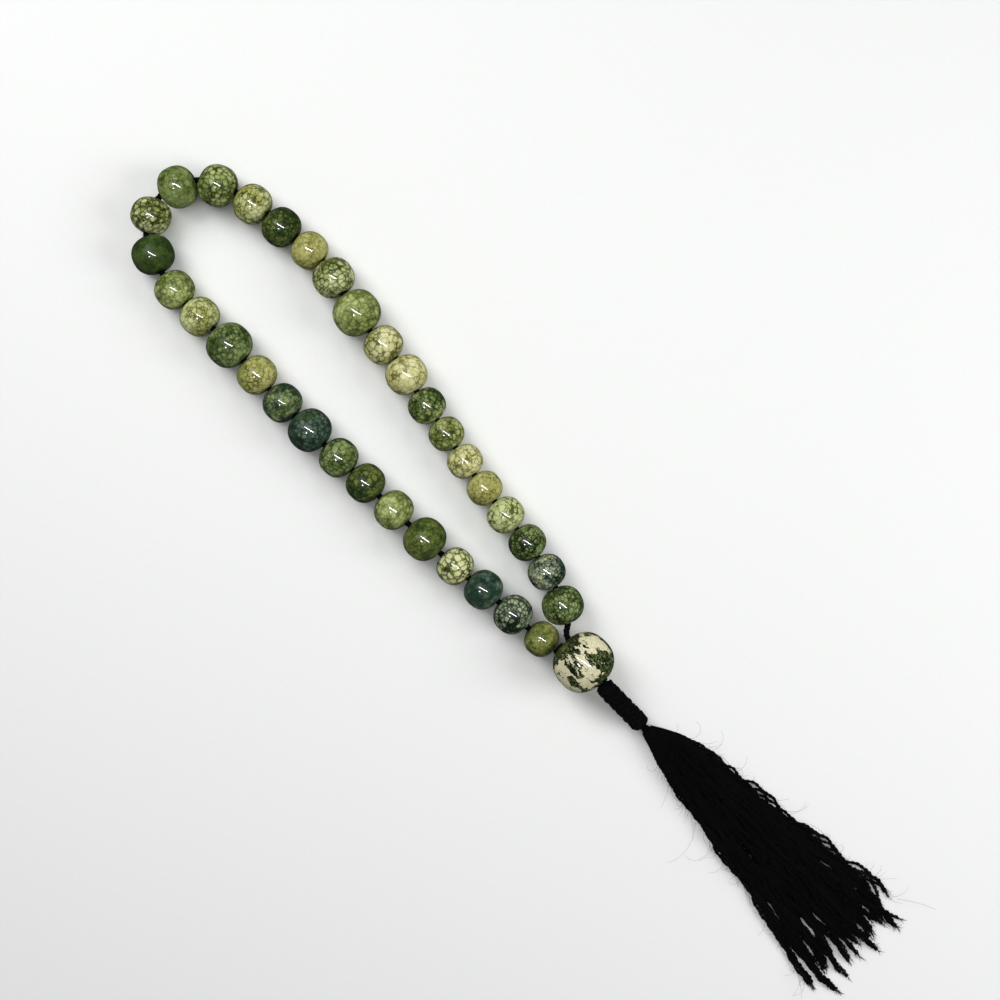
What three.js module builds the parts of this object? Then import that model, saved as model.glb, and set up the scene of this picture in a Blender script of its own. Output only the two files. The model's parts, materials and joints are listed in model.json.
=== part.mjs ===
// A misbaha: a closed strand of counting beads, one large leading bead, a knotted stem and a tassel.
// Millimetres, +Z up. It lies on a flat surface at z = 0, the tassel towards -Y and the loop towards +Y.
import * as THREE from 'three';

// ---------- driving dimensions ----------
// Counting beads, from the one left of the leading bead, round the loop, to the one on its right.
const BEAD_DIAMETERS = [
  9.0, 10.0, 10.0, 9.5, 11.0, 10.0, 10.0, 10.0, 11.0, 10.0, 10.0,
  11.5, 10.0, 10.0, 10.5, 10.0, 10.5, 10.5, 10.0, 10.0, 9.5, 10.5,
  12.0, 10.0, 10.5, 9.5, 9.0, 9.0, 9.0, 9.5, 9.5, 9.5, 10.5,
];
const BEAD_FLATTENING = 0.92;     // half length of the bead's ellipse over its radius
const BEAD_BORE = 2.4;
const BEAD_SIDES = 14;
const BEAD_RINGS = 8;

// Bare cord between neighbours. The loose places are named by the bead before them.
const BEAD_GAP = 0.32;
const LOOSE_GAPS = {
  1: 1.0, 2: 0.7, 3: 0.5, 4: 1.0, 5: 1.2, 6: 0.8, 8: 0.5, 10: 0.5, 12: 0.8, 14: 1.1,
  15: 1.4, 16: 1.5, 17: 1.35, 18: 0.7, 21: 0.4, 22: 0.5, 23: 0.4,
};

// The cord's route seen from above, leading bead at the origin: one point to a bead.
const ROUTE = [
  [-3.3, 6.9], [-4.3, 11.2], [-4.5, 20.6], [-6.3, 30.1], [-7.2, 39.1], [-8.3, 49.4], [-9.0, 60.3],
  [-9.5, 70.0], [-10.2, 79.2], [-10.8, 89.3], [-11.1, 99.1], [-11.3, 108.6], [-10.3, 118.4],
  [-12.2, 128.8], [-11.4, 138.0], [-10.4, 148.4], [-3.9, 156.0], [8.0, 156.8], [14.3, 149.0],
  [17.6, 139.6], [18.2, 130.4], [20.0, 121.2], [20.3, 112.2], [16.2, 101.9], [18.0, 91.5],
  [16.1, 82.5], [14.8, 73.3], [13.8, 65.0], [12.2, 56.6], [11.4, 48.0], [10.5, 39.6],
  [10.2, 30.9], [8.6, 22.8], [6.4, 14.3], [2.6, 6.2],
];

const ROUTE_SAMPLES = 30000;      // fine enough to set a bead within 0.01 mm
const CORD_DIAMETER = 1.6;
const CORD_SIDES = 8;
const JOINT_GAP = 0.3;            // from a flexing point of the cord to the tubes on either side of it
const CORD_HOLD = 0.95;           // part of a bead's half length over which the cord runs straight
const FREE_END = 1.1;             // the cord's left end, just outside the first bead's lower mouth
const CORD_PLAY = 0.2;            // sideways, inside a bead's bore
const FLEX_AFTER = [3, 6, 9, 12, 15, 16, 17, 20, 23, 26, 29];

// The large leading bead. Both ends of the loop's cord run side by side through its wide bore.
const IMAM_DIAMETER = 15.2;
const IMAM_FLATTENING = 0.92;
const IMAM_BORE = 4.2;
const IMAM_SIDES = 18;
const IMAM_RINGS = 10;
const TAIL_OFFSET = 0.95;         // from the bore's centre line to each of the two cords
const TAIL_REACH = 7.3;           // how far the two cords stand out of the bore's middle
const IMAM_TILT = 8;              // degrees that its loop-side mouth points down
const RIGHT_EXIT = [1.0, 7.9, 6.5];

// The knotted stem slopes from the leading bead's lower mouth down to the table.
const STEM_TOP = [-0.3, -7.6, 7.9];
const STEM_END = [-0.1, -22.0, 2.85];
const STEM_KNOTS = 8;
const STEM_KNOT_RADIUS = 2.6;
const STEM_WAIST_RADIUS = 2.25;
const STEM_FACE_RADIUS = 1.9;
const STEM_SIDES = 12;

// The tassel's outline from above: distance from its neck, middle, half width and height.
const TASSEL_NECK = 1.4;          // from the stem's end to the head
const TASSEL_OUTLINE = [
  [0, 0.0, 1.2, 4.2], [3, 0.5, 2.7, 4.8], [8, 1.2, 5.0, 5.2], [18, 1.3, 7.2, 5.0],
  [33, 1.5, 9.0, 4.6], [56, 2.0, 12.9, 3.8], [82, 1.3, 17.4, 2.8],
];
const HEAD_LENGTH = 17;
const LOCK_LENGTHS = [77, 81, 82, 80, 81.5, 81, 79, 80.5, 76];
const LOCK_GAP = 0.4;

const CLEARANCE = 0.3;            // between parts that touch
const SHADE = { bead: 0x3f5a2c, imam: 0xd9d2b0, cord: 0x0b0b0c, tassel: 0x0d0d0f };

// ---------- small helpers ----------
const group = new THREE.Group();
const vec = (point) => new THREE.Vector3(...point);
const turnTo = (axis) => new THREE.Quaternion().setFromUnitVectors(new THREE.Vector3(0, 1, 0), axis);

function add(name, geometry, color, roughness, parent = group) {
  const mesh = new THREE.Mesh(geometry, new THREE.MeshStandardMaterial({ color, roughness, metalness: 0 }));
  mesh.name = name;
  parent.add(mesh);
  return mesh;
}

const numbered = (name, index) => `${name}_${String(index + 1).padStart(2, '0')}`;

// A drilled bead as one ring: its elliptical skin from mouth to mouth, closed by the straight bore.
function drilledBead(diameter, flattening, bore, sides, rings) {
  const mouth = Math.acos(bore / diameter);
  const profile = [];
  for (let i = 0; i <= rings; i += 1) {
    const turn = -mouth + (2 * mouth * i) / rings;
    const radius = (diameter / 2) * Math.cos(turn);
    profile.push(new THREE.Vector2(radius, (diameter / 2) * flattening * Math.sin(turn)));
  }
  profile.push(profile[0].clone());
  return new THREE.LatheGeometry(profile, sides);
}

// Half the bead's length along its bore, from mouth to mouth.
function halfLength(diameter, flattening, bore) {
  return (diameter / 2) * flattening * Math.sin(Math.acos(bore / diameter));
}

// A path of straight lengths: each of its points is one step of a tube.
class CornerPath extends THREE.Curve {
  constructor(points) {
    super();
    this.points = points;
  }

  getUtoTmapping(u) {
    return u;
  }

  getPoint(t) {
    const place = Math.min(t, 1) * (this.points.length - 1);
    const index = Math.min(Math.floor(place), this.points.length - 2);
    return this.points[index].clone().lerp(this.points[index + 1], place - index);
  }

  getTangent(t) {
    const index = Math.round(t * (this.points.length - 1));
    const before = this.points[Math.max(index - 1, 0)];
    const after = this.points[Math.min(index + 1, this.points.length - 1)];
    return after.clone().sub(before).normalize();
  }
}

function tube(points, diameter) {
  const section = new THREE.Shape();
  for (let i = 0; i < CORD_SIDES; i += 1) {
    const turn = (2 * Math.PI * i) / CORD_SIDES;
    const place = [(diameter / 2) * Math.cos(turn), (diameter / 2) * Math.sin(turn)];
    if (i === 0) section.moveTo(...place);
    else section.lineTo(...place);
  }
  section.closePath();
  return new THREE.ExtrudeGeometry(section, { steps: points.length - 1, extrudePath: new CornerPath(points) });
}

// ---------- the beads' places ----------
// The strand is a chain along the route: a link is one bead and half the gap at either side of it.
const gapAfter = (count) => LOOSE_GAPS[count] ?? BEAD_GAP;

function threadBeads() {
  const route = new THREE.CatmullRomCurve3(ROUTE.map(([x, y]) => new THREE.Vector3(x, y, 0)));
  const samples = route.getPoints(ROUTE_SAMPLES);
  const radii = BEAD_DIAMETERS.map((diameter) => diameter / 2);
  let start = samples[0];
  let index = 0;
  return BEAD_DIAMETERS.map((diameter, i) => {
    const half = halfLength(diameter, BEAD_FLATTENING, BEAD_BORE);
    const link = 2 * half + (gapAfter(i) + gapAfter(i + 1)) / 2;
    while (samples[index].distanceTo(start) < link) index += 1;
    const axis = samples[index].clone().sub(start).normalize();
    const centre = start.clone().addScaledVector(axis, gapAfter(i) / 2 + half).setZ(radii[i]);
    start = samples[index];
    const rise = (radii[i + 1] ?? radii[i]) - (radii[i - 1] ?? radii[i]);
    axis.setZ(rise / (2 * link)).normalize();
    return { centre, axis, diameter, half };
  });
}

const beads = threadBeads();
beads.forEach((bead, i) => {
  const geometry = drilledBead(bead.diameter, BEAD_FLATTENING, BEAD_BORE, BEAD_SIDES, BEAD_RINGS);
  const mesh = add(numbered('bead', i), geometry, SHADE.bead, 0.15);
  mesh.quaternion.copy(turnTo(bead.axis));
  mesh.position.copy(bead.centre);
});

// ---------- the loop's cord ----------
// It flexes halfway between the mouths of two beads, and each length between two flexing points is a tube.
// Along a bead's bore: -1 and 1 are its two mouths.
function along(bead, part) {
  return bead.centre.clone().addScaledVector(bead.axis, part * bead.half);
}

function flexPoint(count) {
  if (count === 0) return along(beads[0], -FREE_END);
  if (count === beads.length) return vec(RIGHT_EXIT);
  return along(beads[count - 1], 1).lerp(along(beads[count], -1), 0.5);
}

// Just inside a mouth, where the cord leans towards the next flexing point as far as the bore lets it.
function inMouth(bead, side, towards) {
  const middle = along(bead, side * CORD_HOLD);
  const lean = towards.clone().sub(middle).projectOnPlane(bead.axis);
  return middle.add(lean.clampLength(0, CORD_PLAY));
}

function strandPath(first, last) {
  const bends = Array.from({ length: last - first + 1 }, (_, i) => flexPoint(first + i));
  const inside = beads.slice(first, last).flatMap((bead, i) => (
    [inMouth(bead, -1, bends[i]), inMouth(bead, 1, bends[i + 1])]
  ));
  const back = (point, next) => next.clone().sub(point).setLength(JOINT_GAP).add(point);
  return [back(bends[0], inside[0]), ...inside, back(bends[bends.length - 1], inside[inside.length - 1])];
}

const cuts = [0, ...FLEX_AFTER, beads.length];
for (let i = 0; i < cuts.length - 1; i += 1) {
  add(numbered('strand_cord', i), tube(strandPath(cuts[i], cuts[i + 1]), CORD_DIAMETER), SHADE.cord, 0.8);
}

// ---------- the leading bead and the two cords through it ----------
const leader = new THREE.Group();
leader.position.set(0, 0, IMAM_DIAMETER / 2);
leader.rotation.x = THREE.MathUtils.degToRad(-IMAM_TILT);
group.add(leader);
const imamGeometry = drilledBead(IMAM_DIAMETER, IMAM_FLATTENING, IMAM_BORE, IMAM_SIDES, IMAM_RINGS);
add('imam_bead', imamGeometry, SHADE.imam, 0.15, leader);
for (const [name, side] of [['tail_cord_left', -1], ['tail_cord_right', 1]]) {
  const ends = [TAIL_REACH, -TAIL_REACH].map((y) => new THREE.Vector3(side * TAIL_OFFSET, y, 0));
  add(name, tube(ends, CORD_DIAMETER), SHADE.cord, 0.8, leader);
}

// ---------- the knotted stem ----------
// A row of knots gives it a scalloped outline, with a blunt face at either end.
function knottedStem(length) {
  const knot = length / STEM_KNOTS;
  const profile = [new THREE.Vector2(0, 0), new THREE.Vector2(STEM_FACE_RADIUS, 0)];
  for (let i = 0; i < STEM_KNOTS; i += 1) {
    profile.push(new THREE.Vector2(STEM_KNOT_RADIUS, (i + 0.3) * knot));
    profile.push(new THREE.Vector2(STEM_KNOT_RADIUS, (i + 0.7) * knot));
    if (i < STEM_KNOTS - 1) profile.push(new THREE.Vector2(STEM_WAIST_RADIUS, (i + 1) * knot));
  }
  profile.push(new THREE.Vector2(STEM_FACE_RADIUS, length), new THREE.Vector2(0, length));
  return new THREE.LatheGeometry(profile, STEM_SIDES);
}

const stemRun = vec(STEM_END).sub(vec(STEM_TOP));
const stem = add('knotted_stem', knottedStem(stemRun.length()), SHADE.cord, 0.85);
stem.quaternion.copy(turnTo(stemRun.clone().normalize()));
stem.position.copy(vec(STEM_TOP));

// ---------- the tassel ----------
// Head and locks are flat-bottomed solids with the tassel's own outline, and thin towards the tips.
function tasselAt(distance) {
  const after = Math.max(TASSEL_OUTLINE.findIndex(([reach]) => reach >= distance), 1);
  const [low, high] = [TASSEL_OUTLINE[after - 1], TASSEL_OUTLINE[after]];
  const part = (distance - low[0]) / (high[0] - low[0]);
  const [middle, half, height] = [1, 2, 3].map((i) => low[i] + (high[i] - low[i]) * part);
  return { middle, half, height };
}

function tasselPiece(from, to, left, right, inset) {
  const between = TASSEL_OUTLINE.map(([reach]) => reach).filter((reach) => reach > from && reach < to);
  const side = (across, shift) => [from, ...between, to].map((distance) => {
    const { middle, half } = tasselAt(distance);
    return new THREE.Vector2(middle + across * half + shift, -distance);
  });
  const outline = new THREE.Shape([...side(left, inset).reverse(), ...side(right, -inset)]);
  const geometry = new THREE.ExtrudeGeometry(outline, { depth: 1, bevelEnabled: false });
  const places = geometry.getAttribute('position');
  for (let i = 0; i < places.count; i += 1) {
    places.setZ(i, places.getZ(i) * tasselAt(-places.getY(i)).height);
  }
  return geometry;
}

const neckY = STEM_END[1] - TASSEL_NECK;
const head = add('tassel_head', tasselPiece(0, HEAD_LENGTH, -1, 1, 0), SHADE.tassel, 0.95);
head.position.set(STEM_END[0], neckY, 0);
LOCK_LENGTHS.forEach((length, i) => {
  const [left, right] = [i, i + 1].map((edge) => -1 + (2 * edge) / LOCK_LENGTHS.length);
  const start = HEAD_LENGTH + CLEARANCE;
  const lock = tasselPiece(start, length, left, right, LOCK_GAP / 2);
  add(numbered('tassel_lock', i), lock, SHADE.tassel, 0.95).position.copy(head.position);
});

// ---------- origin: the middle of the whole outline, on the table ----------
const box = new THREE.Box3().setFromObject(group);
const middle = box.getCenter(new THREE.Vector3());
group.position.set(-middle.x, -middle.y, 0);

export default group;
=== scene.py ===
"""Looks for the misbaha: polished stone beads on a black cord, a knotted stem and a yarn tassel."""

import json
import math

import bpy
import numpy as np
from mathutils import Matrix, Vector, noise

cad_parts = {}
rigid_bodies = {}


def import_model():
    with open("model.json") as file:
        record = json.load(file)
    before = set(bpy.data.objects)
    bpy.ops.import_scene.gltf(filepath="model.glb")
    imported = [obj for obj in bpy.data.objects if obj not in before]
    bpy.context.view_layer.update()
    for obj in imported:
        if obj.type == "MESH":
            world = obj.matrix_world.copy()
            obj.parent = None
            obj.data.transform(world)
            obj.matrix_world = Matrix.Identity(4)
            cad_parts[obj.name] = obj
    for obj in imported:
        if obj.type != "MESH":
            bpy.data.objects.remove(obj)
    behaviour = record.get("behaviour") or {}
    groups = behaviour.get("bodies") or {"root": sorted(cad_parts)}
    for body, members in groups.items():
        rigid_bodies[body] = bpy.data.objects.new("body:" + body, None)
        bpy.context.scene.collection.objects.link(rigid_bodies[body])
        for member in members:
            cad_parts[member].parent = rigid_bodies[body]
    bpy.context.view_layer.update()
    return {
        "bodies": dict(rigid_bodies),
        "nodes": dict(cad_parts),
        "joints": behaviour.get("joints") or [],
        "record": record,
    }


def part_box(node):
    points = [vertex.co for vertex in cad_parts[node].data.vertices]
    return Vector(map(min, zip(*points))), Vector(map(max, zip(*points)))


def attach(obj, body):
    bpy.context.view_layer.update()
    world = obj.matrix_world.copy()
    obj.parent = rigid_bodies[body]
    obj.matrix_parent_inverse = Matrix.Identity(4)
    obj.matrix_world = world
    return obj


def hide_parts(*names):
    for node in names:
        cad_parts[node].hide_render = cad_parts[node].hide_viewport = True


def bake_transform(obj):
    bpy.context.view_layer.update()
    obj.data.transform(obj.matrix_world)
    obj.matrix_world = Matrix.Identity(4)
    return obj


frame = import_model()

MM = 0.001
UP = np.array([0.0, 0.0, 1.0])
random = np.random.default_rng(7)
joints = {joint["name"]: joint for joint in frame["joints"]}
bead_count = sum(name.startswith("bead_") for name in frame["bodies"])


# ---------- places, all read from the frame ----------
def centre_of(node):
    low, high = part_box(node)
    return np.array((low + high) / 2)


def vertices_of(node):
    return np.array([vertex.co for vertex in frame["nodes"][node].data.vertices], float)


def unit(vector):
    return vector / np.linalg.norm(vector)


def round_node(node, axis):
    """A drilled bead's centre, radius, half length and bore radius, measured round its axis."""
    centre = centre_of(node)
    from_centre = vertices_of(node) - centre
    along = from_centre @ axis
    away = np.linalg.norm(from_centre - np.outer(along, axis), axis=1)
    return {"centre": centre, "axis": axis, "radius": away.max(), "half": along.max(), "bore": away.min()}


def bead_joint(count):
    name = f"bead_{count:02d}"
    return joints.get(name + "_spin") or joints[name + "_slide"]


beads = [
    round_node(f"bead_{count:02d}", unit(np.array(bead_joint(count)["axis"])))
    for count in range(1, bead_count + 1)
]
strand_of = [bead_joint(count)["parent"] for count in range(1, bead_count + 1)]
imam = round_node("imam_bead", unit(np.array(joints["imam_spin"]["axis"])))
loop_hinge = np.array(joints["loop_open"]["pos_m"])
swing_pivot = np.array(joints["tassel_swing"]["pos_m"])


# ---------- camera: straight above, as in the photograph ----------
AIM_FROM_IMAM = (12.2 * MM, 43.6 * MM)
CAMERA_TURN = math.radians(-42.85)
CAMERA_HEIGHT = 352 * MM

camera = bpy.data.objects.new("camera", bpy.data.cameras.new("camera"))
bpy.context.scene.collection.objects.link(camera)
camera.data.lens = 50
camera.data.sensor_width = 36
camera.location = (imam["centre"][0] + AIM_FROM_IMAM[0], imam["centre"][1] + AIM_FROM_IMAM[1], CAMERA_HEIGHT)
camera.rotation_euler = (0, 0, CAMERA_TURN)
bpy.context.scene.camera = camera
bpy.context.scene.view_settings.view_transform = "Standard"


def in_view(right, up, height):
    """A place named by how far it is right of and above the picture's middle, and over the floor."""
    turn = Matrix.Rotation(CAMERA_TURN, 3, "Z")
    middle = Vector((camera.location.x, camera.location.y, 0))
    return middle + turn @ Vector((right, up, 0)) + Vector((0, 0, height))


# ---------- mesh building ----------
END_DOME = 0.6              # how far a tube's end bulges, as a share of its radius
CURVE_SHARES = 12           # points on a smooth path between two given ones, before it is evened out


class Solid:
    """Vertices and faces gathered from several closed forms. A face's missing corner is -1."""

    def __init__(self):
        self.vertices = []
        self.faces = []
        self.count = 0

    def add(self, vertices, faces):
        self.vertices.append(vertices)
        self.faces.append(np.where(faces < 0, faces, faces + self.count))
        self.count += len(vertices)

    def piece(self, name, material, slot):
        mesh = bpy.data.meshes.new(name)
        vertices = np.concatenate(self.vertices)
        faces = [
            [corner for corner in face if corner >= 0]
            for face in np.concatenate(self.faces).tolist()
        ]
        mesh.from_pydata(vertices.tolist(), [], faces)
        mesh.validate()
        mesh.shade_smooth()
        mesh.materials.append(material)
        made = bpy.data.objects.new(name, mesh)
        bpy.context.scene.collection.objects.link(made)
        return made


def path_frame(points):
    """Unit vectors along a path, to its side and to its top."""
    ahead = np.gradient(points, axis=0)
    ahead /= np.linalg.norm(ahead, axis=1)[:, None]
    side = np.cross(ahead, UP)
    side /= np.linalg.norm(side, axis=1)[:, None]
    return ahead, side, np.cross(side, ahead)


def tube(points, radius, sides):
    """Vertices and faces of a closed round tube with domed ends, of one radius or one for each point."""
    ahead, side, top = path_frame(points)
    steps = len(points)
    radius = np.broadcast_to(radius, steps)
    turn = 2 * np.pi * np.arange(sides) / sides
    ring = side[:, None] * np.cos(turn)[None, :, None] + top[:, None] * np.sin(turn)[None, :, None]
    skin = (points[:, None] + ring * radius[:, None, None]).reshape(-1, 3)
    poles = [points[0] - ahead[0] * radius[0] * END_DOME, points[-1] + ahead[-1] * radius[-1] * END_DOME]
    row, column = np.meshgrid(np.arange(steps - 1), np.arange(sides), indexing="ij")
    here = (row * sides + column).ravel()
    beside = (row * sides + (column + 1) % sides).ravel()
    wall = np.stack([here, here + sides, beside + sides, beside], axis=1)
    first = np.arange(sides)
    second = (first + 1) % sides
    last = (steps - 1) * sides
    pole = np.full(sides, steps * sides)
    empty = np.full(sides, -1)
    near_cap = np.stack([pole, first, second, empty], axis=1)
    far_cap = np.stack([pole + 1, second + last, first + last, empty], axis=1)
    return np.concatenate([skin, poles]), np.concatenate([wall, near_cap, far_cap])


def lengths_along(points):
    return np.concatenate([[0], np.cumsum(np.linalg.norm(np.diff(points, axis=0), axis=1))])


def twisted(solid, points, plies, offset, radius, pitch, sides, phase=0.0):
    """Plies that wind round a path, as in a twisted yarn or cord."""
    _, side, top = path_frame(points)
    place = 2 * np.pi * lengths_along(points) / pitch + phase
    for ply in range(plies):
        turn = place + 2 * np.pi * ply / plies
        reach = np.broadcast_to(offset, len(points))[:, None]
        winding = points + reach * (side * np.cos(turn)[:, None] + top * np.sin(turn)[:, None])
        solid.add(*tube(winding, radius, sides))


def smooth_path(points, step):
    """A Catmull-Rom curve through the points, in even steps."""
    padded = np.concatenate([[2 * points[0] - points[1]], points, [2 * points[-1] - points[-2]]])
    share = np.linspace(0, 1, CURVE_SHARES, endpoint=False)[:, None]
    runs = []
    for before, start, end, after in zip(padded, padded[1:], padded[2:], padded[3:]):
        runs.append(
            0.5 * (2 * start + (end - before) * share
                   + (2 * before - 5 * start + 4 * end - after) * share**2
                   + (3 * start - before - 3 * end + after) * share**3)
        )
    fine = np.concatenate([*runs, points[-1:]])
    reached = lengths_along(fine)
    even = np.linspace(0, reached[-1], max(2, int(reached[-1] / step) + 1))
    return np.stack([np.interp(even, reached, fine[:, i]) for i in range(3)], axis=1)


def smoothstep(low, high, value):
    share = np.clip((value - low) / (high - low), 0, 1)
    return share * share * (3 - 2 * share)


# ---------- material building ----------
class Nodes:
    """A material's node tree, with short calls for the nodes that the looks here need."""

    def __init__(self, name):
        self.material = bpy.data.materials.new(name)
        self.material.use_nodes = True
        self.tree = self.material.node_tree
        self.shader = self.tree.nodes["Principled BSDF"]

    def node(self, kind, settings=None, **inputs):
        made = self.tree.nodes.new(kind)
        for name, value in (settings or {}).items():
            setattr(made, name, value)
        for name, value in inputs.items():
            self.put(made.inputs[name.replace("_", " ")], value)
        return made

    def put(self, socket, value):
        if isinstance(value, bpy.types.NodeSocket):
            self.tree.links.new(value, socket)
        else:
            socket.default_value = value

    def set(self, name, value):
        self.put(self.shader.inputs[name], value)

    def places(self, shift=(0, 0, 0), stretch=(1, 1, 1)):
        """The object's own coordinates in millimetres."""
        coordinates = self.node("ShaderNodeTexCoord").outputs["Object"]
        scale = tuple(1000 * share for share in stretch)
        return self.node("ShaderNodeMapping", Vector=coordinates, Location=shift, Scale=scale).outputs[0]

    def math(self, operation, first, second=0.0, third=0.0):
        made = self.node("ShaderNodeMath", {"operation": operation})
        for socket, value in zip(made.inputs, (first, second, third)):
            self.put(socket, value)
        return made.outputs[0]

    def noise(self, places, scale, detail=2.0, roughness=0.5, distortion=0.0, colour=False):
        made = self.node("ShaderNodeTexNoise", None, Vector=places, Scale=scale, Detail=detail,
                         Roughness=roughness, Distortion=distortion)
        return made.outputs["Color" if colour else "Fac"]

    def voronoi(self, places, scale, feature, output, randomness=1.0):
        made = self.node("ShaderNodeTexVoronoi", {"feature": feature}, Vector=places, Scale=scale,
                         Randomness=randomness)
        return made.outputs[output]

    def step(self, value, low, high, to_low=0.0, to_high=1.0):
        made = self.node("ShaderNodeMapRange", {"interpolation_type": "SMOOTHSTEP"}, Value=value)
        self.put(made.inputs["From Min"], low)
        self.put(made.inputs["From Max"], high)
        self.put(made.inputs["To Min"], to_low)
        self.put(made.inputs["To Max"], to_high)
        return made.outputs[0]

    def mix(self, share, first, second):
        made = self.node("ShaderNodeMix", {"data_type": "RGBA"})
        self.put(made.inputs[0], share)
        self.put(made.inputs[6], (*first, 1) if isinstance(first, tuple) else first)
        self.put(made.inputs[7], (*second, 1) if isinstance(second, tuple) else second)
        return made.outputs[2]

    def warp(self, places, scale, reach):
        """Places pushed about by a noise, by up to about half of reach millimetres."""
        push = self.noise(places, scale, detail=2, colour=True)
        middle = self.node("ShaderNodeVectorMath", {"operation": "SUBTRACT"})
        self.put(middle.inputs[0], push)
        self.put(middle.inputs[1], (0.5, 0.5, 0.5))
        added = self.node("ShaderNodeVectorMath", {"operation": "MULTIPLY_ADD"})
        self.put(added.inputs[0], middle.outputs[0])
        self.put(added.inputs[1], (reach, reach, reach))
        self.put(added.inputs[2], places)
        return added.outputs[0]

    def bump(self, height, strength, distance):
        made = self.node("ShaderNodeBump", None, Height=height, Strength=strength, Distance=distance)
        self.set("Normal", made.outputs[0])


# ---------- stone ----------
INK = (0.004, 0.009, 0.003)
BOTTLE = (0.010, 0.022, 0.005)
DEEP_TEAL = (0.006, 0.017, 0.010)
DARK_OLIVE = (0.026, 0.034, 0.006)
NET_GREEN = (0.018, 0.030, 0.006)
NET_OLIVE = (0.042, 0.054, 0.010)
NET_BRONZE = (0.095, 0.090, 0.018)
PINE = (0.022, 0.048, 0.010)
SEA = (0.020, 0.046, 0.030)
MOSS = (0.055, 0.092, 0.018)
OLIVE = (0.16, 0.195, 0.042)
FERN = (0.12, 0.17, 0.036)
KHAKI = (0.33, 0.33, 0.09)
SAGE = (0.25, 0.32, 0.12)
STEEL = (0.11, 0.17, 0.115)
GREY_SAGE = (0.36, 0.43, 0.27)
STRAW = (0.5, 0.49, 0.18)
LIME = (0.46, 0.52, 0.2)
PALE_LIME = (0.6, 0.64, 0.32)
CREAM = (0.70, 0.68, 0.36)
OCHRE = (0.24, 0.17, 0.035)

# For each bead: net, cell and highlight colours, cell size and net width in millimetres, the net's
# strength, then the colour of its patches and the share of the bead that they take.
LOOKS = [
    (NET_GREEN, MOSS, KHAKI, 0.9, 0.10, 0.45, OLIVE, 0.4),
    (INK, SEA, GREY_SAGE, 1.2, 0.24, 1, STEEL, 0.4),
    (DEEP_TEAL, SEA, STEEL, 1.5, 0.10, 0.5, PINE, 0.4),
    (DARK_OLIVE, LIME, CREAM, 1.8, 0.32, 1, PALE_LIME, 0.4),
    (BOTTLE, MOSS, OLIVE, 1.2, 0.13, 0.75, PINE, 0.4),
    (NET_OLIVE, FERN, LIME, 1.3, 0.14, 0.5, SAGE, 0.4),
    (BOTTLE, PINE, OLIVE, 1.4, 0.14, 0.95, SEA, 0.3),
    (BOTTLE, MOSS, SAGE, 1.4, 0.19, 0.9, OLIVE, 0.3),
    (DEEP_TEAL, SEA, STEEL, 1.3, 0.15, 0.9, MOSS, 0.4),
    (BOTTLE, SEA, SAGE, 1.1, 0.13, 0.75, MOSS, 0.4),
    (NET_OLIVE, KHAKI, STRAW, 1.1, 0.12, 0.7, FERN, 0.4),
    (BOTTLE, MOSS, SAGE, 1.1, 0.13, 0.75, SEA, 0.4),
    (NET_OLIVE, KHAKI, PALE_LIME, 1.3, 0.14, 0.7, STRAW, 0.45),
    (NET_OLIVE, FERN, LIME, 1.2, 0.12, 0.7, KHAKI, 0.3),
    (BOTTLE, PINE, MOSS, 1.5, 0.10, 0.6, MOSS, 0.4),
    (DARK_OLIVE, OLIVE, PALE_LIME, 1.2, 0.16, 1, KHAKI, 0.3),
    (DARK_OLIVE, FERN, SAGE, 1.4, 0.11, 0.6, OLIVE, 0.4),
    (NET_GREEN, FERN, LIME, 1.3, 0.15, 0.9, SAGE, 0.3),
    (NET_OLIVE, KHAKI, PALE_LIME, 1.5, 0.15, 0.9, FERN, 0.35),
    (BOTTLE, PINE, OLIVE, 1.0, 0.15, 1.0, MOSS, 0.3),
    (NET_BRONZE, KHAKI, STRAW, 1.2, 0.11, 0.5, OCHRE, 0.35),
    (DARK_OLIVE, OLIVE, PALE_LIME, 1.4, 0.17, 0.9, LIME, 0.3),
    (NET_OLIVE, FERN, LIME, 1.4, 0.08, 0.55, STRAW, 0.35),
    (NET_OLIVE, KHAKI, CREAM, 1.7, 0.15, 0.95, LIME, 0.35),
    (NET_BRONZE, STRAW, CREAM, 1.7, 0.12, 0.7, CREAM, 0.6),
    (BOTTLE, MOSS, LIME, 1.3, 0.15, 0.9, FERN, 0.4),
    (NET_GREEN, OLIVE, LIME, 1.4, 0.13, 0.8, OCHRE, 0.2),
    (NET_BRONZE, STRAW, CREAM, 1.7, 0.17, 0.9, PALE_LIME, 0.3),
    (NET_BRONZE, KHAKI, STRAW, 1.2, 0.11, 0.7, LIME, 0.3),
    (NET_OLIVE, LIME, PALE_LIME, 1.6, 0.13, 0.85, FERN, 0.3),
    (INK, MOSS, SAGE, 1.1, 0.15, 1, OLIVE, 0.3),
    (INK, SEA, GREY_SAGE, 1.0, 0.12, 0.9, CREAM, 0.22),
    (INK, MOSS, SAGE, 1.0, 0.15, 0.9, FERN, 0.35),
]


def polish(nodes):
    """A polished stone's clear gloss."""
    nodes.set("Roughness", 0.35)
    nodes.set("Specular IOR Level", 0.12)
    nodes.set("Coat Weight", 0.9)
    nodes.set("Coat Roughness", 0.012)
    nodes.set("Coat IOR", 1.55)


def bubbles(nodes, places, size):
    """How far a place is inside its rounded cell, in millimetres, less than zero between the cells."""
    edge = nodes.voronoi(places, 1 / size, "DISTANCE_TO_EDGE", "Distance")
    middle = nodes.voronoi(places, 1 / size, "F1", "Distance")
    return nodes.math("MULTIPLY", nodes.math("MINIMUM", edge, nodes.math("SUBTRACT", 0.60, middle)), size)


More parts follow.
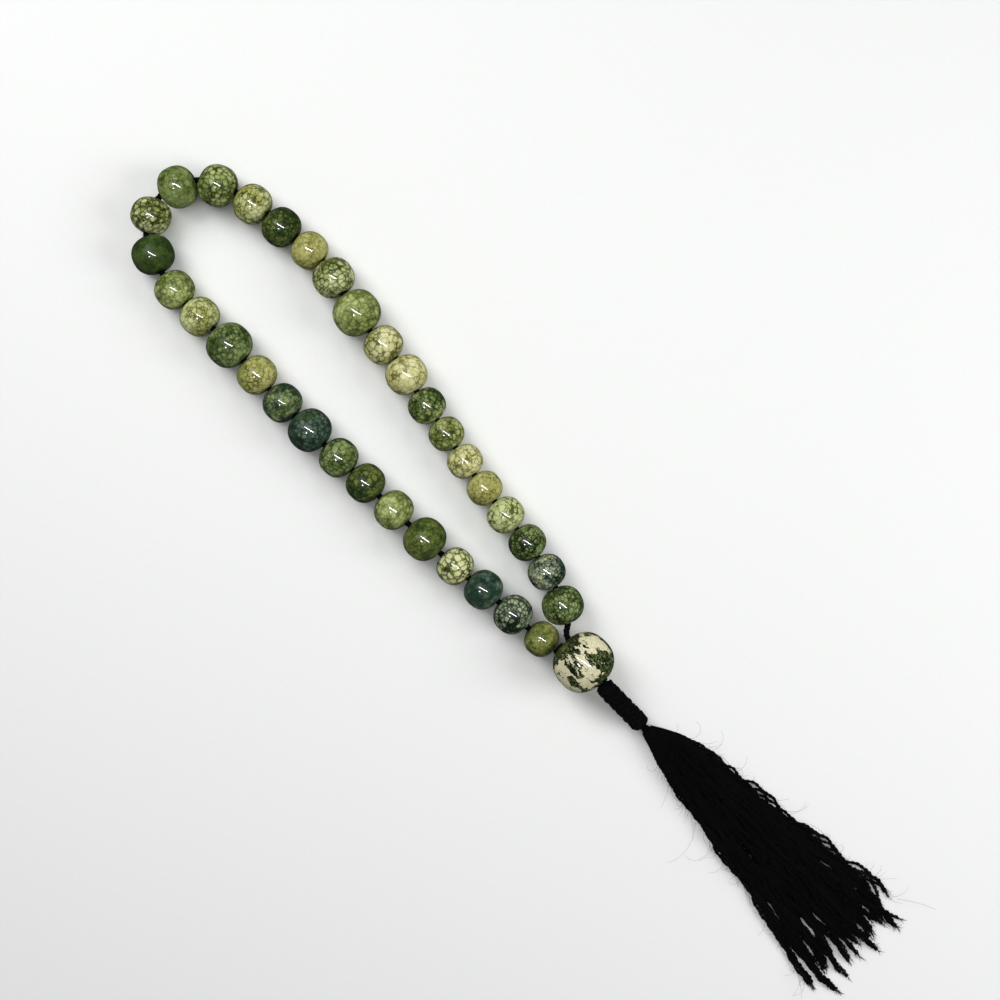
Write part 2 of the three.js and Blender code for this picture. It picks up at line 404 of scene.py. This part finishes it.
def netted_stone(name, seed, look):
    """Rounded cells of varied size in a darker net, with cloudy patches."""
    net, cell, bright, cell_size, net_width, net_share, patch, patch_share = look
    nodes = Nodes(name)
    places = nodes.places(shift=(31.7 * seed, 17.3 * seed, 5.9 * seed))
    bent = nodes.warp(nodes.warp(places, 0.16, 3.0), 0.9, 0.35)
    # Large rounded cells, with small ones in the net between them.
    large = bubbles(nodes, bent, cell_size)
    small = bubbles(nodes, bent, 0.5 * cell_size)
    between = nodes.step(large, -0.10, 0.02, 1.0, 0.0)
    # The net is thin here and thick there, has a soft inner edge, and fades in some regions.
    thickness = nodes.noise(places, 0.3, detail=2)
    thickness = nodes.step(thickness, 0.34, 0.66, 0.4 * net_width, 1.5 * net_width)
    inside = nodes.step(large, 0.0, thickness)
    inside = nodes.math("MAXIMUM", inside, nodes.math("MULTIPLY", between, nodes.step(small, 0.0, thickness)))
    region = nodes.noise(places, 0.17, detail=2)
    faded = nodes.step(region, 0.40, 0.60, 0.45 - 0.45 * net_share, 1.10 - 0.95 * net_share)
    inside = nodes.math("MINIMUM", nodes.math("ADD", inside, faded), 1.0)
    # Each cell has a tone of its own and a lighter middle; a cloud, the region and a grain shade it.
    tone = nodes.voronoi(bent, 1 / cell_size, "F1", "Color")
    tone = nodes.node("ShaderNodeSeparateColor", Color=tone).outputs[0]
    dome = nodes.step(large, 0.0, cell_size * 0.34)
    cloud = nodes.noise(places, 0.42, detail=4, roughness=0.6)
    grain = nodes.noise(places, 2.6, detail=4, roughness=0.7)
    light = nodes.math("MULTIPLY_ADD", tone, 0.30, nodes.math("MULTIPLY", dome, 0.38))
    light = nodes.math("ADD", light, nodes.step(cloud, 0.36, 0.64, -0.20, 0.38))
    light = nodes.math("ADD", light, nodes.step(region, 0.36, 0.62, -0.28, 0.34))
    light = nodes.math("ADD", light, nodes.step(grain, 0.3, 0.7, -0.16, 0.16))
    light = nodes.math("MAXIMUM", nodes.math("MINIMUM", light, 1.0), 0.0)
    colour = nodes.mix(light, cell, bright)
    patches = nodes.noise(places, 0.20, detail=3, roughness=0.55, distortion=0.6)
    start = 0.5 + 0.22 * (0.5 - patch_share)
    patches = nodes.step(patches, start, start + 0.12, 0.0, 0.85)
    colour = nodes.mix(patches, colour, nodes.mix(light, cell, patch))
    colour = nodes.mix(inside, net, colour)
    nodes.set("Base Color", colour)
    nodes.bump(nodes.math("MULTIPLY_ADD", grain, 0.15, inside), 0.25, 0.00003)
    polish(nodes)
    return nodes.material


FERN_BAND = (0.94, 0.35, 0.0)      # the direction across the band where the growths are thickest
FERN_BLACK = (0.004, 0.009, 0.004)
FERN_GREEN = (0.15, 0.19, 0.055)
FERN_SHADE = (0.012, 0.024, 0.005)
GROUND_PALE = (0.80, 0.78, 0.58)
GROUND_BUFF = (0.60, 0.55, 0.33)
GROUND_CRACK = (0.35, 0.30, 0.15)


def fern_stone(name, centre):
    """Cream ground with ragged, fern-like growths, black at their edges and olive green inside."""
    nodes = Nodes(name)
    places = nodes.places(shift=tuple(-1000 * float(c) for c in centre))
    bent = nodes.warp(places, 0.25, 2.5)
    masses = nodes.math("MULTIPLY", nodes.noise(bent, 0.17, detail=2, roughness=0.5), 1.5)
    ragged = nodes.noise(places, 2.2, detail=3, roughness=0.6)
    band = nodes.node("ShaderNodeVectorMath", {"operation": "DOT_PRODUCT"})
    nodes.put(band.inputs[0], bent)
    nodes.put(band.inputs[1], FERN_BAND)
    from_band = nodes.math("ABSOLUTE", nodes.math("ADD", band.outputs["Value"], 0.8))
    band = nodes.step(from_band, 1.5, 6.5, 0.12, -0.06)
    blades = nodes.warp(places, 0.7, 1.2)
    blades = nodes.node("ShaderNodeMapping", Vector=blades, Scale=(1.9, 0.5, 1.3)).outputs[0]
    fingers = nodes.noise(blades, 0.50, detail=4, roughness=0.52, distortion=0.4)
    growth = nodes.math("ADD", nodes.math("MULTIPLY_ADD", fingers, 1.2, masses), band)
    growth = nodes.math("MULTIPLY_ADD", ragged, 0.30, growth)
    dark = nodes.step(growth, 1.455, 1.47)
    strokes = nodes.step(nodes.noise(blades, 1.0, detail=4, roughness=0.65), 0.48, 0.55, -0.20, 0.10)
    core = nodes.step(nodes.math("ADD", growth, strokes), 1.565, 1.625)
    speckle = nodes.noise(places, 2.4, detail=5, roughness=0.75)
    ground = nodes.mix(nodes.step(speckle, 0.35, 0.7), GROUND_BUFF, GROUND_PALE)
    cracks = nodes.voronoi(nodes.warp(places, 0.9, 0.6), 0.9, "DISTANCE_TO_EDGE", "Distance")
    ground = nodes.mix(nodes.step(cracks, 0.0, 0.05, 0.55, 0.0), ground, GROUND_CRACK)
    green = nodes.mix(nodes.step(speckle, 0.42, 0.6), FERN_SHADE, FERN_GREEN)
    colour = nodes.mix(core, FERN_BLACK, green)
    colour = nodes.mix(dark, ground, colour)
    nodes.set("Base Color", colour)
    nodes.bump(nodes.math("MULTIPLY_ADD", dark, -0.3, speckle), 0.2, 0.00004)
    polish(nodes)
    return nodes.material


# ---------- fibre ----------
def fibre(name, colour, lighter, grain, sheen):
    nodes = Nodes(name)
    places = nodes.places()
    strands = nodes.noise(places, grain, detail=3, roughness=0.7)
    worn = nodes.noise(places, 0.4, detail=2)
    share = nodes.math("MULTIPLY", nodes.step(strands, 0.35, 0.75), nodes.step(worn, 0.3, 0.7, 0.5, 1.0))
    nodes.set("Base Color", nodes.mix(share, colour, lighter))
    nodes.set("Roughness", nodes.step(strands, 0.3, 0.7, 0.75, 0.95))
    nodes.set("Specular IOR Level", 0.08)
    nodes.set("Sheen Weight", sheen)
    nodes.set("Sheen Roughness", 0.45)
    nodes.set("Sheen Tint", (0.6, 0.62, 0.68, 1))
    nodes.bump(strands, 0.6, 0.0001)
    return nodes.material


cord_black = fibre("cord_black", (0.0010, 0.0010, 0.0012), (0.004, 0.004, 0.0045), 7.0, 0.01)
yarn_black = fibre("yarn_black", (0.0006, 0.0006, 0.0007), (0.0025, 0.0025, 0.0028), 9.0, 0.0)
hair_black = fibre("hair_black", (0.012, 0.011, 0.010), (0.035, 0.030, 0.028), 5.0, 0.1)

# ---------- beads ----------
LIP = 0.25 * MM             # the rounding of a bore's mouth
UNEVEN = 0.05 * MM          # how far a bead's skin swells and dips
BEAD_MESH = {"sides": 48, "skin_steps": 28, "reach": UNEVEN, "fullness": 2.28}
IMAM_MESH = {"sides": 72, "skin_steps": 44, "reach": 2 * UNEVEN, "fullness": 2.35}
IMAM_SEED = 40


def bead_outline(facts, fullness, skin_steps):
    """A drilled bead's closed outline: a skin, an ellipse at fullness 2, and a bore with rounded mouths."""
    radius, half, bore = facts["radius"], facts["half"], facts["bore"]
    power = 2 / fullness
    crown = half / math.sin(math.acos((bore / radius) ** (1 / power))) ** power
    last = math.acos(((bore + LIP) / radius) ** (1 / power))
    turn = np.linspace(-last, last, skin_steps)
    rise = np.sign(turn) * np.abs(np.sin(turn)) ** power
    skin = np.stack([radius * np.cos(turn) ** power, crown * rise], axis=1)
    height = skin[-1][1] - LIP
    turn = np.linspace(0.3, np.pi / 2, 4)
    mouth = np.stack([bore + LIP * (1 - np.sin(turn)), height + LIP * np.cos(turn)], axis=1)
    bore_wall = np.array([(bore, height * share) for share in (0.5, 0.0, -0.5)])
    return np.concatenate([skin, mouth, bore_wall, mouth[::-1] * (1, -1)])


def turned(outline, sides):
    """A closed outline turned round the Z axis into one ring-like solid."""
    turn = 2 * np.pi * np.arange(sides) / sides
    x = outline[:, 0][:, None] * np.cos(turn)
    y = outline[:, 0][:, None] * np.sin(turn)
    z = np.repeat(outline[:, 1][:, None], sides, axis=1)
    vertices = np.stack([x, y, z], axis=2).reshape(-1, 3)
    row, column = np.meshgrid(np.arange(len(outline)), np.arange(sides), indexing="ij")
    next_row = (row + 1) % len(outline)
    next_column = (column + 1) % sides
    corners = [row * sides + column, row * sides + next_column,
               next_row * sides + next_column, next_row * sides + column]
    return vertices, np.stack([corner.ravel() for corner in corners], axis=1)


def uneven(vertices, bore, seed, reach):
    """A hand-ground bead is never quite round: the skin swells and dips a little."""
    away = np.linalg.norm(vertices[:, :2], axis=1)
    share = smoothstep(bore + LIP, bore + 5 * LIP, away)
    shift = Vector((seed * 3.1, seed * 7.7, seed * 1.3))
    swell = np.array([noise.noise(Vector(vertex) / (4 * MM) + shift) for vertex in vertices])
    return vertices * (1 + (reach * share * (swell - 0.35) / np.linalg.norm(vertices, axis=1)))[:, None]


def drilled_bead(name, facts, material, slot, seed, sides, skin_steps, reach, fullness):
    outline = bead_outline(facts, fullness, skin_steps)
    vertices, faces = turned(outline, sides)
    vertices = uneven(vertices, facts["bore"], seed, reach)
    turn = np.array(Vector((0, 0, 1)).rotation_difference(Vector(facts["axis"])).to_matrix())
    solid = Solid()
    solid.add(vertices @ turn.T + facts["centre"], faces)
    return solid.piece(name, material, slot)


slots = {part["node"]: part["material_slot"] for part in frame["record"]["subparts"]}
for count, (facts, look) in enumerate(zip(beads, LOOKS), start=1):
    node = f"bead_{count:02d}"
    stone = netted_stone(f"stone_{count:02d}", count, look)
    bead = drilled_bead(f"polished_{node}", facts, stone, slots[node], count, **BEAD_MESH)
    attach(bead, node)
    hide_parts(node)

leader = drilled_bead("polished_imam_bead", imam, fern_stone("stone_imam", imam["centre"]),
                      slots["imam_bead"], IMAM_SEED, **IMAM_MESH)
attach(leader, "imam")
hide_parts("imam_bead")

# ---------- the loop's cord: three twisted plies, one piece across each flexing point ----------
CORD_RADIUS = 0.8 * MM
PLY_RADIUS = 0.43 * MM
CORD_PITCH = 3.2 * MM
CORD_STEP = 0.3 * MM
PLY_SIDES = 10
BEND_INSIDE = 0.8 * MM      # how far into a bead's mouth a point on the cord is taken; nothing uses that point


def along(facts, share):
    return facts["centre"] + facts["axis"] * facts["half"] * share


def cord(name, points):
    solid = Solid()
    path = smooth_path(np.array(points), CORD_STEP)
    twisted(solid, path, 3, CORD_RADIUS - PLY_RADIUS, PLY_RADIUS, CORD_PITCH, PLY_SIDES)
    return solid.piece(name, cord_black, "cord")


def through(first, last):
    """The cord's line from the middle of one bead to the middle of another."""
    points = [along(beads[first], 0)]
    for index in range(first, last + 1):
        if index > first:
            points += [along(beads[index], share) for share in (-0.8, 0)]
        if index < last:
            points.append(along(beads[index], 0.8))
    return points


strands = sorted(set(strand_of))
middles = {}
for strand in strands:
    members = [index for index, owner in enumerate(strand_of) if owner == strand]
    middles[strand] = members[len(members) // 2]

for left, right in zip(strands, strands[1:]):
    piece = cord(f"cord_{left[-2:]}_{right[-2:]}", through(middles[left], middles[right]))
    before = max(index for index, owner in enumerate(strand_of) if owner == left)
    start = along(beads[before], 1) - beads[before]["axis"] * BEND_INSIDE
    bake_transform(piece)
    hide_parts(f"strand_cord_{right[-2:]}")

TAIL_SIDE = 0.95 * MM        # each cord's place beside the leading bead's bore line
tail_out = np.cross(imam["axis"], UP)


def tail(side, share):
    return along(imam, share) + side * TAIL_SIDE * tail_out


# The right end bends at the loop's hinge, on a line eased halfway towards the straight one.
hinge_side = (loop_hinge + (along(beads[-1], 0.8) + tail(1, 1.0)) / 2) / 2
right_run = through(middles[strands[-1]], bead_count - 1) + [along(beads[-1], 0.8), hinge_side]
right_run += [tail(1, share) for share in (0.9, 0.5, 0, -0.6, -1.02)]
right_cord = cord("cord_right_end", right_run)
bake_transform(right_cord)
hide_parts("tail_cord_right")

# The left end is parted just outside the first bead, where the loop is open.
left_cord = cord("cord_left_start", [along(beads[0], share) for share in (-0.62, -0.3, 0, 0.8)]
                 + through(1, middles[strands[0]]))
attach(left_cord, strands[0])
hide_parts("strand_cord_01")
left_tail = cord("cord_left_end", [tail(-1, share) for share in (-1.02, -0.6, 0, 0.6, 0.95)]
                 + [along(beads[0], share) for share in (-1.25, -1.16)])
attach(left_tail, "stem")
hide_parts("tail_cord_left")

# ---------- the knotted stem: a round braid, tied off with a few turns at both ends ----------
STEM_STRANDS = 5            # each way round
STEM_KNOTS = 8
STEM_TURNS = 2.0            # how often a strand winds round the stem
STRAND_RADIUS = 0.50 * MM
STRAND_LIFT = 0.20 * MM     # how far a strand passes over and under the others
STRAND_SIDES = 8


def long_node(node, end):
    """The two ends of a straight round node, the one nearest to a given point last."""
    vertices = vertices_of(node)
    middle = vertices.mean(axis=0)
    axis = np.linalg.svd(vertices - middle, full_matrices=False)[2][0]
    reach = (vertices - middle) @ axis
    ends = [middle + axis * reach.min(), middle + axis * reach.max()]
    return sorted(ends, key=lambda point: -np.linalg.norm(point - end))


stem_top, stem_end = long_node("knotted_stem", swing_pivot)
stem_axis = unit(stem_end - stem_top)
stem_side = unit(np.cross(stem_axis, UP))
stem_face = np.cross(stem_side, stem_axis)
stem_length = np.linalg.norm(stem_end - stem_top)
stem_radius = np.linalg.norm(np.cross(vertices_of("knotted_stem") - stem_top, stem_axis), axis=1).max()


def round_stem(place, turn, radius):
    """A point round the stem's axis, place metres down from its top."""
    across = np.cos(turn)[:, None] * stem_side + np.sin(turn)[:, None] * stem_face
    return stem_top + np.outer(place, stem_axis) + across * radius[:, None]


stem = Solid()
place = np.linspace(0.03, 0.97, 170) * stem_length
swelling = 1 - 0.16 * np.cos(2 * np.pi * place / (stem_length / STEM_KNOTS)) ** 4
ending = 1 - 0.22 * smoothstep(0.9, 1.0, np.abs(2 * place / stem_length - 1))
for direction in (-1, 1):
    for strand in range(STEM_STRANDS):
        turn = direction * 2 * np.pi * place / (stem_length / STEM_TURNS) + 2 * np.pi * strand / STEM_STRANDS
        over = STRAND_LIFT * np.sin(direction * STEM_STRANDS * turn)
        radius = (stem_radius - STRAND_RADIUS - STRAND_LIFT) * swelling * ending + over
        stem.add(*tube(round_stem(place, turn, radius), STRAND_RADIUS, STRAND_SIDES))
turn = np.linspace(0, 1.5 * 2 * np.pi, 60)
for start in (0.05, 0.90):
    place = np.linspace(start, start + 0.06, len(turn)) * stem_length
    tie_radius = np.full(len(turn), stem_radius * 0.72)
    stem.add(*tube(round_stem(place, turn, tie_radius), STRAND_RADIUS, STRAND_SIDES))
core = np.linspace(0.01, 0.99, 24)[:, None] * stem_length * stem_axis + stem_top
stem.add(*tube(core, stem_radius * 0.70, 20))
knotted = stem.piece("knotted_stem_braid", cord_black, "cord")
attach(knotted, "stem")
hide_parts("knotted_stem")

# ---------- the tassel: two-ply yarns in locks, frayed at their tips, with stray fibres ----------
YARNS = 120
CORE_YARNS = 80             # plain yarns underneath, out of sight
TUFTS = 27                  # the pointed bunches that the yarns end in
TUFT_PULL = 0.7             # how far a yarn is drawn to the middle of its tuft
WAVE_LENGTH = 17 * MM
CRIMP = 0.16 * MM
CRIMP_LENGTH = 4.1 * MM
FRAYED = 6                  # loose fibres at a yarn's tip
FRAY_REACH = 1.9 * MM
FUZZ_PER_YARN = 4
FUZZ_RADIUS = 0.022 * MM
STRAYS = 220
STRAY_RADIUS = 0.027 * MM
YARN_PLY = 0.25 * MM        # the radius of one of a yarn's two plies
YARN_OFFSET = 0.20 * MM     # from the yarn's line to a ply's middle
YARN_PITCH = 2.6 * MM
YARN_STEP = 0.48 * MM
YARN_RADIUS = YARN_PLY + YARN_OFFSET
CORE_RADIUS = 0.62 * MM
locks = sorted(name for name in frame["nodes"] if name.startswith("tassel_lock"))


def edge_of(nodes, pick, column):
    """How one edge of the tassel runs: for each distance from the pivot, its lowest or highest value."""
    stations = {}
    for node in nodes:
        for vertex in vertices_of(node):
            distance = round(swing_pivot[1] - vertex[1], 4)
            stations.setdefault(distance, []).append(vertex[column])
    distances = sorted(stations)
    return np.array(distances), np.array([pick(stations[distance]) for distance in distances])


left_edge = edge_of(["tassel_head", locks[0]], min, 0)
right_edge = edge_of(["tassel_head", locks[-1]], max, 0)
top_edge = edge_of(["tassel_head", locks[len(locks) // 2]], max, 2)
head_start = left_edge[0][0]
tip_reach = [swing_pivot[1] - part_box(lock)[0].y for lock in locks]


def edge_at(edge, distance):
    return np.interp(distance, *edge)


def yarn_path(across, level, tuft, wave, phases):
    """A yarn's line: gathered at the neck, fanning out, then drawn into its tuft's point."""
    length = tuft["length"] - random.exponential(1.6) * MM
    distance = np.arange(-0.6 * MM, length, YARN_STEP)
    share = np.clip(distance / tuft["length"], 0, 1)
    drawn = across + (tuft["middle"] - across) * TUFT_PULL * smoothstep(tuft["parting"], 1.0, share)
    left, right = edge_at(left_edge, distance), edge_at(right_edge, distance)
    middle = (left + right) / 2
    half = (right - left) / 2 - YARN_RADIUS
    neck = smoothstep(-0.6 * MM, head_start + 4 * MM, distance)
    x = middle * neck + swing_pivot[0] * (1 - neck) + drawn * np.maximum(half, 0.6 * MM)
    loose = smoothstep(3 * MM, 26 * MM, distance)
    x = x + loose * wave * np.sin(2 * np.pi * distance / WAVE_LENGTH + phases[0])
    x = x + loose * tuft["sway"] * np.sin(2 * np.pi * distance / (1.5 * WAVE_LENGTH) + tuft["phase"])
    x = x + CRIMP * loose * np.sin(2 * np.pi * distance / CRIMP_LENGTH + phases[1])
    height = edge_at(top_edge, distance) * np.sqrt(1 - 0.75 * np.clip(drawn, -1, 1)**2)
    height = height * (1 - 0.35 * smoothstep(0.75, 1.0, share))
    lying = YARN_RADIUS + level * np.maximum(height - 2 * YARN_RADIUS, 0.1 * MM)
    lying = lying + CRIMP * level * np.sin(2 * np.pi * distance / (1.3 * CRIMP_LENGTH) + phases[2])
    rise = 1 - smoothstep(-0.6 * MM, head_start + 7 * MM, distance)
    z = lying * (1 - rise) + (swing_pivot[2] + (level - 0.5) * 2.0 * MM) * rise
    y = swing_pivot[1] - distance
    return np.stack([x, y, np.maximum(z, YARN_RADIUS)], axis=1)


def fray(solid, tip, direction, count, reach):
    """Loose fibres that fan out of a yarn's end."""
    for _ in range(count):
        length = reach * random.uniform(0.4, 1.0)
        spread = random.normal(0, 0.17, 3) * np.array([1, 1, 0.35])
        curl = random.normal(0, 0.22, 3) * np.array([1, 1, 0.2])
        share = np.linspace(-0.25, 1, 7)[:, None]
        points = tip + length * share * (direction + spread * share + curl * share**2)
        points[:, 2] = np.maximum(points[:, 2], 0.12 * MM)
        solid.add(*tube(points, np.linspace(0.12, 0.03, 7) * MM, 4))


def stray(solid, start, heading, bend, length, thickness):
    """One loose fibre, curling away from the yarns and lying down towards the floor."""
    turn = heading + bend * np.linspace(0, 1, 12) ** 1.5
    lift = random.normal(0, 0.12, 12)
    steps = np.stack([np.cos(turn), np.sin(turn), lift], axis=1) * length / 12
    points = start + np.cumsum(steps, axis=0)
    points[:, 2] = np.clip(points[:, 2], 0.1 * MM, 4 * MM)
    solid.add(*tube(points, np.linspace(thickness, 0.6 * thickness, 12), 4))


tassel = Solid()
fringe = Solid()
tufts = []
for index in range(TUFTS):
    middle = -1 + 2 * (index + random.uniform(0.2, 0.8)) / TUFTS
    lock = min(int((middle + 1) / 2 * len(locks)), len(locks) - 1)
    tufts.append({
        "middle": middle,
        "length": tip_reach[lock] + random.uniform(-9, 1.0) * MM,
        "parting": random.uniform(0.62, 0.84),
        "sway": random.uniform(0.1, 0.9) * MM,
        "phase": random.uniform(0, 2 * np.pi),
    })

for index in range(YARNS):
    across = np.clip(-1 + 2 * (index + random.uniform(0.1, 0.9)) / YARNS, -0.99, 0.99)
    tuft = min(tufts, key=lambda found: abs(found["middle"] - across))
    wave = (0.3 + 0.2 * abs(across) + 0.8 * max(across, 0) ** 3) * random.uniform(0.3, 1.4) * MM
    path = yarn_path(across, random.uniform(0, 1), tuft, wave, random.uniform(0, 2 * np.pi, 3))
    gone = swing_pivot[1] - path[:, 1]
    thick = 1 - 0.45 * (1 - smoothstep(0, 12 * MM, gone))
    opening = 1 + 0.5 * smoothstep(0.72, 1.0, gone / gone[-1])
    twisted(tassel, path, 2, YARN_OFFSET * thick * opening, YARN_PLY * thick, YARN_PITCH, 5,
            random.uniform(0, 6.3))
    fray(fringe, path[-1], unit(path[-1] - path[-4]), FRAYED, FRAY_REACH)
    for place in random.integers(30, len(path) - 4, FUZZ_PER_YARN):
        heading = random.normal(-math.pi / 2, 0.5)
        stray(fringe, path[place], heading, random.normal(0, 1.2), random.uniform(0.8, 2.4) * MM, FUZZ_RADIUS)

for index in range(CORE_YARNS):
    across = -0.9 + 1.8 * (index + 0.5) / CORE_YARNS
    tuft = min(tufts, key=lambda found: abs(found["middle"] - across))
    path = yarn_path(across, random.uniform(0, 0.75), tuft, 0.2 * MM, random.uniform(0, 2 * np.pi, 3))
    path = path[6:int(0.92 * len(path)):2]
    path[:, 2] = np.maximum(path[:, 2], CORE_RADIUS)
    tassel.add(*tube(path, CORE_RADIUS, 6))

yarns = tassel.piece("tassel_yarns", yarn_black, "tassel_yarn")
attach(yarns, "tassel")
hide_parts("tassel_head", *locks)

for index in range(STRAYS):
    side = -1 if index % 2 else 1
    distance = random.uniform(3, 76) * MM
    edge = edge_at(left_edge if side < 0 else right_edge, distance)
    start = np.array([edge - side * random.uniform(0.3, 2.0) * MM, swing_pivot[1] - distance,
                      random.uniform(0.4, 2.5) * MM])
    heading = -math.pi / 2 + side * random.uniform(0.15, 1.0)
    stray(fringe, start, heading, random.normal(0, 1.6), random.gamma(2.5, 1.7) * MM, STRAY_RADIUS)
strays = fringe.piece("tassel_stray_fibres", hair_black, "tassel_yarn")
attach(strays, "tassel")

# ---------- floor and light ----------
DASH_SLOPE = math.radians(-28)      # of the narrow strip light that each bead mirrors as a short dash
AMBIENT = 0.16
AMBIENT_IN_GLOSS = 0.035
FLOOR_REACH = 1.6
floor_corners = [(x * FLOOR_REACH, y * FLOOR_REACH, 0) for x, y in ((-1, -1), (1, -1), (1, 1), (-1, 1))]
floor_mesh = bpy.data.meshes.new("floor")
floor_mesh.from_pydata(floor_corners, [], [(0, 1, 2, 3)])
floor = bpy.data.objects.new("floor", floor_mesh)
bpy.context.scene.collection.objects.link(floor)
pale = Nodes("pale_floor")
floor_places = pale.places()
paper = pale.noise(floor_places, 0.9, detail=4)
pale.set("Base Color", pale.mix(paper, (0.80, 0.81, 0.80), (0.83, 0.84, 0.83)))
pale.set("Roughness", 0.6)
floor_mesh.materials.append(pale.material)


def area_light(name, place, target, size, watts, glossy=True):
    light = bpy.data.lights.new(name, "AREA")
    light.shape = "RECTANGLE"
    light.size, light.size_y = size
    light.energy = watts
    made = bpy.data.objects.new(name, light)
    bpy.context.scene.collection.objects.link(made)
    made.location = place
    made.rotation_euler = (Vector(target) - Vector(place)).to_track_quat("-Z", "Y").to_euler()
    made.visible_glossy = glossy
    return made


middle = in_view(0, 0, 0)
area_light("key", in_view(-0.34, 0.36, 0.46), middle, (0.36, 0.36), 2.6, glossy=False)
area_light("side", in_view(0.50, -0.05, 0.34), middle, (0.30, 0.30), 2.2, glossy=False)
area_light("top", in_view(0.0, 0.05, 0.65), middle, (0.60, 0.50), 1.0, glossy=False)
area_light("sheen", in_view(-0.26, 0.26, 0.60), middle, (0.46, 0.38), 0.4)
spot = area_light("spot", in_view(-0.17, -0.12, 0.60), middle, (0.06, 0.05), 0.45)
strip = area_light("strip", in_view(0.0, 0.03, 0.62), middle, (0.50, 0.026), 3.2)
strip.rotation_euler = (0, 0, CAMERA_TURN + DASH_SLOPE)
spot.visible_diffuse = False
strip.visible_diffuse = False
floor.visible_glossy = False

world = bpy.data.worlds.new("studio")
world.use_nodes = True
sky = world.node_tree.nodes["Background"]
seen_by = world.node_tree.nodes.new("ShaderNodeLightPath")
brightness = world.node_tree.nodes.new("ShaderNodeMapRange")
brightness.inputs["To Min"].default_value = AMBIENT
brightness.inputs["To Max"].default_value = AMBIENT_IN_GLOSS
world.node_tree.links.new(seen_by.outputs["Is Glossy Ray"], brightness.inputs["Value"])
world.node_tree.links.new(brightness.outputs[0], sky.inputs["Strength"])
sky.inputs["Color"].default_value = (1, 1, 1, 1)
bpy.context.scene.world = world
